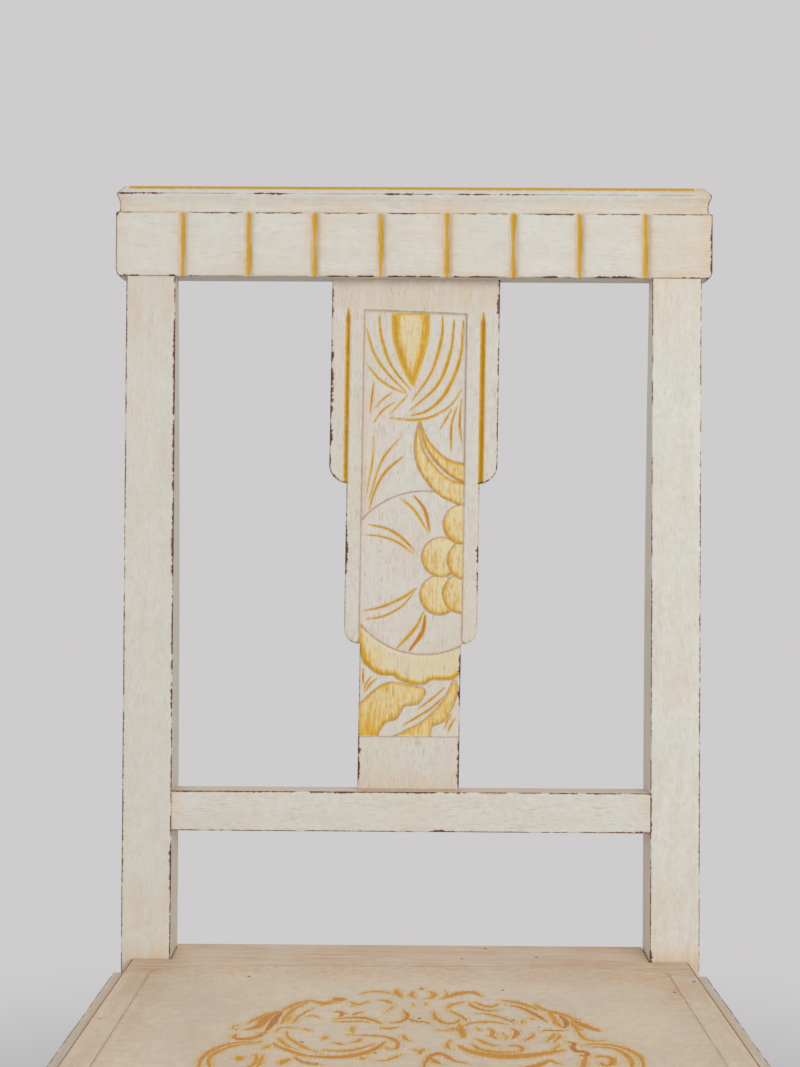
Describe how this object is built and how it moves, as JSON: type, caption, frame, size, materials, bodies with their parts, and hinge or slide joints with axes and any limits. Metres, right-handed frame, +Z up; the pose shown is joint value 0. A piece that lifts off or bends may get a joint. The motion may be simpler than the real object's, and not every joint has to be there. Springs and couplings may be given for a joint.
{
  "type": "painted side chair",
  "caption": "Wooden side chair with a raked back, fluted crest rail, stepped carved splat and a lift-out framed seat, in worn cream paint.",
  "frame": {"origin": "on the floor, under the middle of the chair's bounding box", "axes": "+Z up, the front of the chair faces -Y, +X to the right as seen from the front"},
  "size_m": [0.4334, 0.4564, 0.9739],
  "materials": {
    "cream_paint": "chalky cream paint over dark stained wood, worn through on the arrises",
    "seat_paint": "cream paint toned warm beige, with a mustard stencil",
    "bare_beech": "unpainted beech",
    "steel_screws": "plain steel wood screws"
  },
  "bodies": {
    "chair_frame": {"rear_post_left": "cream_paint", "rear_post_right": "cream_paint", "front_leg_left": "cream_paint", "front_leg_right": "cream_paint", "crest_rail": "cream_paint", "crest_dowels": "bare_beech", "lower_back_rail": "cream_paint", "back_splat": "cream_paint", "front_seat_rail": "cream_paint", "back_seat_rail": "cream_paint", "side_seat_rail_left": "cream_paint", "side_seat_rail_right": "cream_paint", "corner_block_rear_left": "bare_beech", "corner_block_rear_right": "bare_beech", "corner_block_front_left": "bare_beech", "corner_block_front_right": "bare_beech", "corner_block_screws": "steel_screws", "side_stretcher_left": "cream_paint", "side_stretcher_right": "cream_paint", "cross_stretcher": "cream_paint"},
    "drop_in_seat": {"seat_panel": "seat_paint", "seat_back_member": "seat_paint", "seat_front_member": "seat_paint", "seat_side_member_left": "seat_paint", "seat_side_member_right": "seat_paint"}
  },
  "joints": [
    {"name": "seat_lift", "type": "slide", "parent": "chair_frame", "child": "drop_in_seat", "axis": [0, 0, 1], "range_m": [0, 0.075]}
  ]
}
